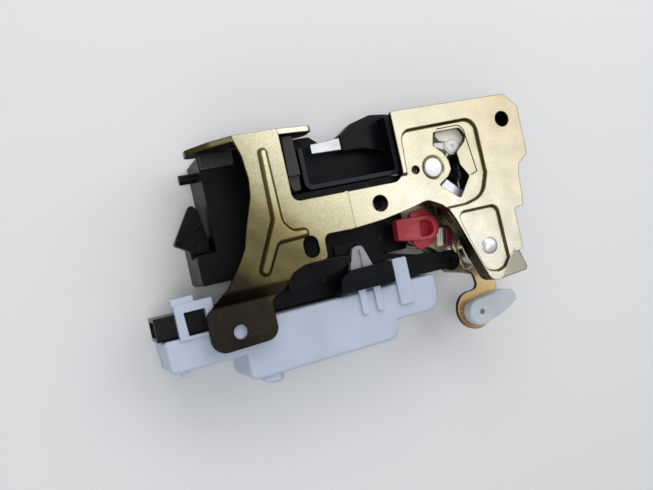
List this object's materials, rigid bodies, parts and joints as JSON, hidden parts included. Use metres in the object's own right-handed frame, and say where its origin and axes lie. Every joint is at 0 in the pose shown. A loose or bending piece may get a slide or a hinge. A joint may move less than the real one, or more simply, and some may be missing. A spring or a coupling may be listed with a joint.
{
  "type": "door latch actuator",
  "caption": "Vehicle side-door latch with rotary claw, pawl and release levers on a pressed face plate, and a motor-driven lock actuator in a white box.",
  "frame": {"origin": "centre of the middle M6 screw hole, on the front face of the plate's middle strip", "axes": "X along the plate from the left arm to the claw's side, Y towards the mouth, Z out of the front face"},
  "size_m": [0.1504, 0.0902, 0.0404],
  "materials": {
    "plate": "yellow-passivated zinc on pressed steel",
    "claw_steel": "bare hardened steel",
    "rivet": "bright turned steel",
    "overmould": "satin moulded polymer",
    "boss": "white nylon",
    "spring": "oiled spring wire",
    "back_steel": "yellow-passivated zinc",
    "lever_steel": "yellow-passivated zinc",
    "red_clip": "dark red nylon",
    "white_clip": "white nylon",
    "housing": "fine-grained black moulding",
    "liner": "satin black",
    "bumper": "soft black rubber",
    "black_part": "satin black",
    "white_box": "white moulding",
    "cover": "white moulding",
    "motor_can": "plated steel can",
    "shaft_steel": "ground steel",
    "gear": "natural nylon",
    "brass_blades": "tin-flashed brass"
  },
  "bodies": {
    "frame": {"face_plate": "plate", "claw_rivet": "rivet", "pawl_rivet": "rivet", "claw_stop": "rivet", "claw_spring": "spring", "pawl_spring": "spring", "back_plate": "back_steel", "latch_housing": "housing", "mouth_liner": "liner", "bumper": "bumper", "knob_pin": "rivet", "actuator_box": "white_box", "actuator_cover": "cover", "arm_cover": "black_part", "motor": "motor_can", "socket": "black_part", "terminals": "brass_blades"},
    "claw": {"claw": "claw_steel", "claw_overmould": "overmould", "claw_boss": "boss"},
    "pawl": {"pawl": "claw_steel", "pawl_spacer": "rivet", "release_lever": "lever_steel"},
    "release_clip": {"release_clip": "red_clip"},
    "inside_lever": {"inside_lever": "lever_steel"},
    "inside_clip": {"inside_clip": "white_clip"},
    "gear": {"gear_wheel": "gear", "gear_shaft": "shaft_steel", "output_arm": "boss", "arm_pin": "shaft_steel"},
    "worm": {"worm": "gear", "worm_shaft": "shaft_steel"},
    "lock_slide": {"lock_slide": "black_part"},
    "knob_lever": {"knob_lever": "black_part"}
  },
  "joints": [
    {"name": "claw_pivot", "type": "hinge", "parent": "frame", "child": "claw", "pos_m": [0.0242, 0.0091, -0.0115], "axis": [0, 0, 1], "range_deg": [-43, 0], "deforming": ["claw_spring"]},
    {"name": "pawl_pivot", "type": "hinge", "parent": "frame", "child": "pawl", "pos_m": [0.0405, -0.0239, -0.014], "axis": [0, 0, 1], "range_deg": [-15.2, 0], "deforming": ["pawl_spring"]},
    {"name": "release_clip_pivot", "type": "hinge", "parent": "pawl", "child": "release_clip", "pos_m": [0.0197, -0.0126, -0.0168], "axis": [0, 0, 1], "range_deg": [0, 15.2]},
    {"name": "inside_lever_pivot", "type": "hinge", "parent": "frame", "child": "inside_lever", "pos_m": [0.0405, -0.0239, -0.0188], "axis": [0, 0, 1], "range_deg": [-18, 0]},
    {"name": "inside_clip_pivot", "type": "hinge", "parent": "inside_lever", "child": "inside_clip", "pos_m": [0.039, -0.0495, -0.0188], "axis": [0, 0, 1], "range_deg": [-12, 12]},
    {"name": "lock_slide_travel", "type": "slide", "parent": "frame", "child": "lock_slide", "axis": [1, 0, 0], "range_m": [-0.006, 0]},
    {"name": "arm_pivot", "type": "hinge", "parent": "frame", "child": "gear", "pos_m": [-0.0075, -0.0344, -0.023], "axis": [0, 0, 1], "range_deg": [0, 18.3]},
    {"name": "worm_spin", "type": "hinge", "parent": "frame", "child": "worm", "pos_m": [-0.008, -0.0416, -0.023], "axis": [1, 0, 0], "range_deg": [-219, 0]},
    {"name": "knob_lever_pivot", "type": "hinge", "parent": "frame", "child": "knob_lever", "pos_m": [-0.0624, -0.0014, -0.024], "axis": [0, 0, 1], "range_deg": [0, 15]}
  ],
  "couplings": [
    {"joint": "pawl_pivot", "follows": "claw_pivot", "ratio": 0.3488},
    {"joint": "release_clip_pivot", "follows": "claw_pivot", "ratio": -0.3488},
    {"joint": "arm_pivot", "follows": "lock_slide_travel", "rad_per_m": -52.93},
    {"joint": "worm_spin", "follows": "lock_slide_travel", "rad_per_m": 635.2},
    {"joint": "knob_lever_pivot", "follows": "lock_slide_travel", "rad_per_m": -43.4}
  ]
}
